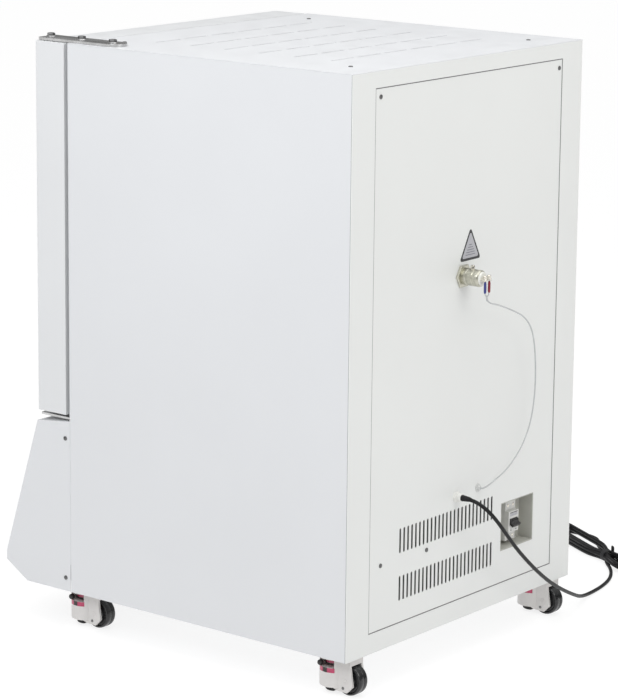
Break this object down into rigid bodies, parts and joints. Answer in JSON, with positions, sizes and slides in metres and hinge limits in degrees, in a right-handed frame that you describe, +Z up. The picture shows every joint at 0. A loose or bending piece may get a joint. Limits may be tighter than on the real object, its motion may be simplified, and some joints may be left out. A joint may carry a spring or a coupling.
{
  "type": "laboratory incubator",
  "caption": "Free-standing laboratory incubator: insulated chamber behind a hinged door, sloping control console, vented rear panel, levelling casters.",
  "frame": {"origin": "on the floor, under the middle of the cabinet's own box, without the mains lead", "axes": "+Z up, +Y towards the rear panel, -Y towards the door, +X towards the door's hinges"},
  "size_m": [1.3218, 1.004, 1.2445],
  "materials": {
    "cabinet_white": "satin",
    "door_white": "satin",
    "frame_grey": "satin",
    "chamber_steel": "satin",
    "hinge_steel": "satin",
    "screw_steel": "satin",
    "foam": "matte",
    "gasket_rubber": "matte",
    "panel_plastic": "matte",
    "key_plastic": "matte",
    "switch_black": "gloss",
    "recess_grey": "matte",
    "breaker_grey": "matte",
    "gland_white": "satin",
    "probe_metal": "satin",
    "cord_black": "satin",
    "lead_grey": "satin",
    "caster_housing": "satin",
    "wheel_black": "gloss",
    "dial_red": "gloss",
    "foot_black": "matte",
    "machine_black": "satin",
    "coil_metal": "satin"
  },
  "bodies": {
    "cabinet": {"base_frame": "frame_grey", "side_panel_right": "cabinet_white", "side_panel_left": "cabinet_white", "rear_frame": "cabinet_white", "rear_panel": "cabinet_white", "top_cover": "cabinet_white", "front_frame": "cabinet_white", "chamber_liner": "chamber_steel", "insulation": "foam", "shelf_rails": "chamber_steel", "shelves": "chamber_steel", "fan_duct": "chamber_steel", "fan_motor": "machine_black", "heater_element": "chamber_steel", "evaporator_coil": "coil_metal", "compressor": "machine_black", "condenser_coil": "coil_metal", "electronics_tray": "frame_grey", "console_cover": "cabinet_white", "control_panel": "panel_plastic", "breaker_recess": "recess_grey", "breaker_body": "breaker_grey", "cable_glands": "gland_white", "probe_head": "probe_metal", "sensor_cable": "lead_grey", "power_cord": "cord_black", "cord_hank": "cord_black", "power_plug": "cord_black", "panel_screws": "screw_steel", "hinge_plate_upper": "hinge_steel", "hinge_bracket_lower": "hinge_steel", "caster_plates": "caster_housing"},
    "door": {"door_shell": "door_white", "door_foam": "foam", "door_inner_panel": "chamber_steel", "door_gasket": "gasket_rubber", "door_handle": "chamber_steel"},
    "circulation_rotor": {"circulation_fan": "coil_metal"},
    "condenser_rotor": {"condenser_fan": "coil_metal"},
    "toggle": {"breaker_toggle": "switch_black"},
    "rocker": {"power_switch": "switch_black"},
    "down_key": {"key_down": "key_plastic"},
    "up_key": {"key_up": "key_plastic"},
    "set_key": {"key_set": "key_plastic"},
    "swivel_front_right": {"caster_fork_front_right": "caster_housing"},
    "wheel_front_right": {"caster_wheel_front_right": "wheel_black"},
    "dial_front_right": {"caster_dial_front_right": "dial_red"},
    "foot_front_right": {"caster_foot_front_right": "foot_black"},
    "swivel_front_left": {"caster_fork_front_left": "caster_housing"},
    "wheel_front_left": {"caster_wheel_front_left": "wheel_black"},
    "dial_front_left": {"caster_dial_front_left": "dial_red"},
    "foot_front_left": {"caster_foot_front_left": "foot_black"},
    "swivel_rear_right": {"caster_fork_rear_right": "caster_housing"},
    "wheel_rear_right": {"caster_wheel_rear_right": "wheel_black"},
    "dial_rear_right": {"caster_dial_rear_right": "dial_red"},
    "foot_rear_right": {"caster_foot_rear_right": "foot_black"},
    "swivel_rear_left": {"caster_fork_rear_left": "caster_housing"},
    "wheel_rear_left": {"caster_wheel_rear_left": "wheel_black"},
    "dial_rear_left": {"caster_dial_rear_left": "dial_red"},
    "foot_rear_left": {"caster_foot_rear_left": "foot_black"}
  },
  "joints": [
    {"name": "door_hinge", "type": "hinge", "parent": "cabinet", "child": "door", "pos_m": [0.357, -0.3785, 0.458], "axis": [0, 0, 1], "range_deg": [0, 120]},
    {"name": "circulation_spin", "type": "hinge", "parent": "cabinet", "child": "circulation_rotor", "pos_m": [0, 0.3105, 0.996], "axis": [0, 1, 0], "continuous": true},
    {"name": "condenser_spin", "type": "hinge", "parent": "cabinet", "child": "condenser_rotor", "pos_m": [0.059, 0.3325, 0.252], "axis": [0, 1, 0], "continuous": true},
    {"name": "breaker_throw", "type": "hinge", "parent": "cabinet", "child": "toggle", "pos_m": [-0.191, 0.4145, 0.2395], "axis": [1, 0, 0], "range_deg": [0, 70]},
    {"name": "power_rock", "type": "hinge", "parent": "cabinet", "child": "rocker", "pos_m": [0.1, -0.44867, 0.27869], "axis": [1, 0, 0], "range_deg": [-8, 8]},
    {"name": "down_press", "type": "slide", "parent": "cabinet", "child": "down_key", "axis": [0, 0.9552, -0.2961], "range_m": [0, 0.0015], "stiffness_N_per_m": 300},
    {"name": "up_press", "type": "slide", "parent": "cabinet", "child": "up_key", "axis": [0, 0.9552, -0.2961], "range_m": [0, 0.0015], "stiffness_N_per_m": 300},
    {"name": "set_press", "type": "slide", "parent": "cabinet", "child": "set_key", "axis": [0, 0.9552, -0.2961], "range_m": [0, 0.0015], "stiffness_N_per_m": 300},
    {"name": "swivel_front_right", "type": "hinge", "parent": "cabinet", "child": "swivel_front_right", "pos_m": [0.344, -0.3005, 0.1], "axis": [0, 0, 1], "continuous": true},
    {"name": "roll_front_right", "type": "hinge", "parent": "swivel_front_right", "child": "wheel_front_right", "pos_m": [0.344, -0.2605, 0.0315], "axis": [1, 0, 0], "continuous": true},
    {"name": "level_front_right", "type": "hinge", "parent": "swivel_front_right", "child": "dial_front_right", "pos_m": [0.344, -0.3005, 0.063], "axis": [0, 0, 1], "range_deg": [0, 1801]},
    {"name": "foot_front_right", "type": "slide", "parent": "swivel_front_right", "child": "foot_front_right", "axis": [0, 0, -1], "range_m": [0, 0.01]},
    {"name": "swivel_front_left", "type": "hinge", "parent": "cabinet", "child": "swivel_front_left", "pos_m": [-0.344, -0.3005, 0.1], "axis": [0, 0, 1], "continuous": true},
    {"name": "roll_front_left", "type": "hinge", "parent": "swivel_front_left", "child": "wheel_front_left", "pos_m": [-0.344, -0.2605, 0.0315], "axis": [1, 0, 0], "continuous": true},
    {"name": "level_front_left", "type": "hinge", "parent": "swivel_front_left", "child": "dial_front_left", "pos_m": [-0.344, -0.3005, 0.063], "axis": [0, 0, 1], "range_deg": [0, 1801]},
    {"name": "foot_front_left", "type": "slide", "parent": "swivel_front_left", "child": "foot_front_left", "axis": [0, 0, -1], "range_m": [0, 0.01]},
    {"name": "swivel_rear_right", "type": "hinge", "parent": "cabinet", "child": "swivel_rear_right", "pos_m": [0.344, 0.3665, 0.1], "axis": [0, 0, 1], "continuous": true},
    {"name": "roll_rear_right", "type": "hinge", "parent": "swivel_rear_right", "child": "wheel_rear_right", "pos_m": [0.344, 0.4065, 0.0315], "axis": [1, 0, 0], "continuous": true},
    {"name": "level_rear_right", "type": "hinge", "parent": "swivel_rear_right", "child": "dial_rear_right", "pos_m": [0.344, 0.3665, 0.063], "axis": [0, 0, 1], "range_deg": [0, 1801]},
    {"name": "foot_rear_right", "type": "slide", "parent": "swivel_rear_right", "child": "foot_rear_right", "axis": [0, 0, -1], "range_m": [0, 0.01]},
    {"name": "swivel_rear_left", "type": "hinge", "parent": "cabinet", "child": "swivel_rear_left", "pos_m": [-0.344, 0.3665, 0.1], "axis": [0, 0, 1], "continuous": true},
    {"name": "roll_rear_left", "type": "hinge", "parent": "swivel_rear_left", "child": "wheel_rear_left", "pos_m": [-0.344, 0.4065, 0.0315], "axis": [1, 0, 0], "continuous": true},
    {"name": "level_rear_left", "type": "hinge", "parent": "swivel_rear_left", "child": "dial_rear_left", "pos_m": [-0.344, 0.3665, 0.063], "axis": [0, 0, 1], "range_deg": [0, 1801]},
    {"name": "foot_rear_left", "type": "slide", "parent": "swivel_rear_left", "child": "foot_rear_left", "axis": [0, 0, -1], "range_m": [0, 0.01]}
  ],
  "couplings": [
    {"joint": "level_front_right", "follows": "foot_front_right", "rad_per_m": 3141.6},
    {"joint": "level_front_left", "follows": "foot_front_left", "rad_per_m": 3141.6},
    {"joint": "level_rear_right", "follows": "foot_rear_right", "rad_per_m": 3141.6},
    {"joint": "level_rear_left", "follows": "foot_rear_left", "rad_per_m": 3141.6}
  ]
}
